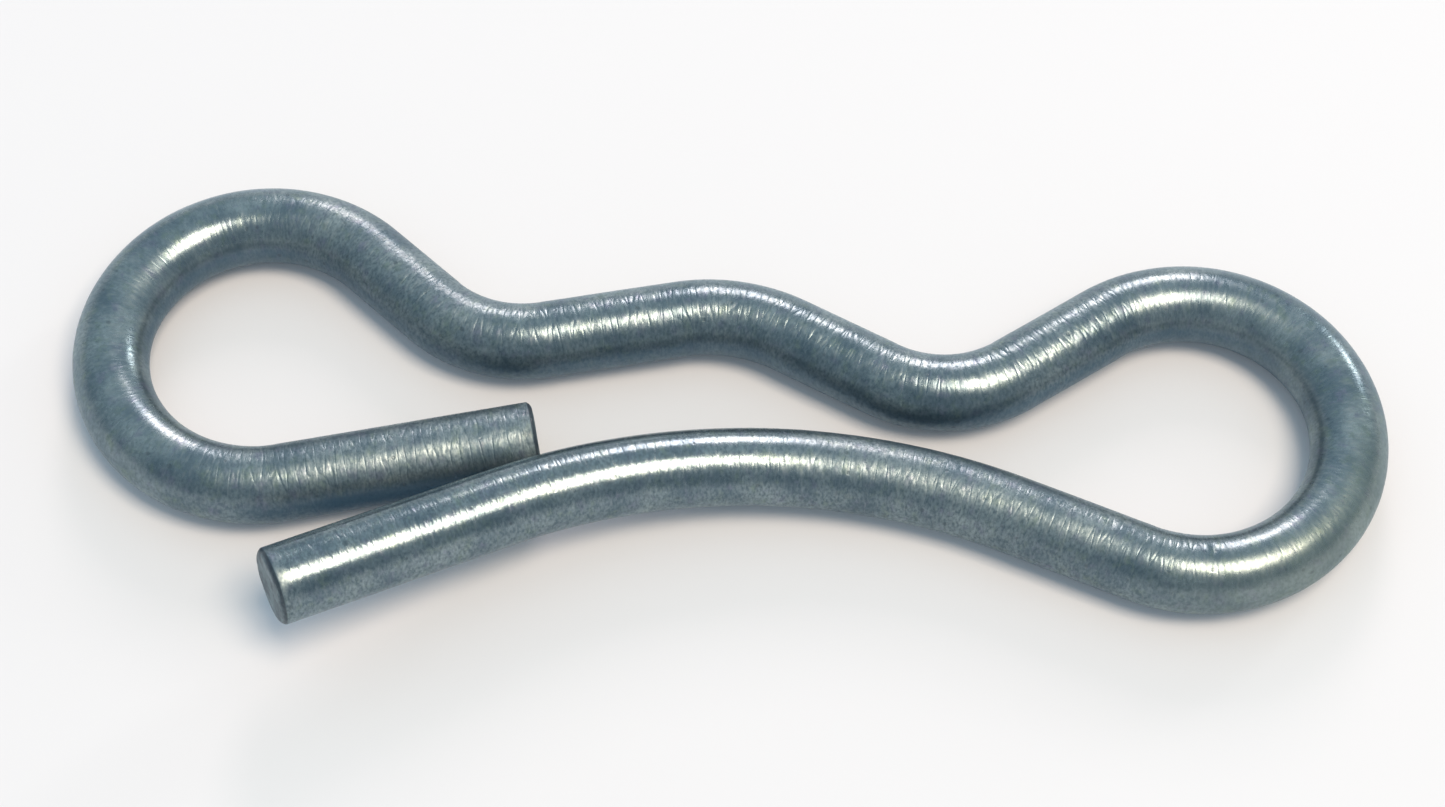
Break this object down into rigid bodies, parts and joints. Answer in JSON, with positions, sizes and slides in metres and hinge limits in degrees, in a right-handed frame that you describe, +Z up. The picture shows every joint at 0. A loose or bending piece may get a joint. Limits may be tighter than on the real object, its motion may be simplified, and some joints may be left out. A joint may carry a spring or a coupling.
{
  "type": "spring locking pin",
  "caption": "Bent wire locking pin: its bowed leg goes through the cross hole of a shaft while the wavy side springs round the outside, with a loop at each end.",
  "frame": {"origin": "centre of the pin's footprint, on the plane that it lies on", "axes": "+X along the pin's length, from the loop with the hook to the closed loop; +Y from the bowed leg to the wavy side; +Z up, square to the plane that the wire is bent in"},
  "size_m": [0.0764, 0.0302, 0.0078],
  "materials": {
    "zinc_plated_wire": "dull zinc plate on cold drawn spring wire"
  },
  "bodies": {
    "root": {"spring_wire": "zinc_plated_wire"}
  },
  "joints": []
}
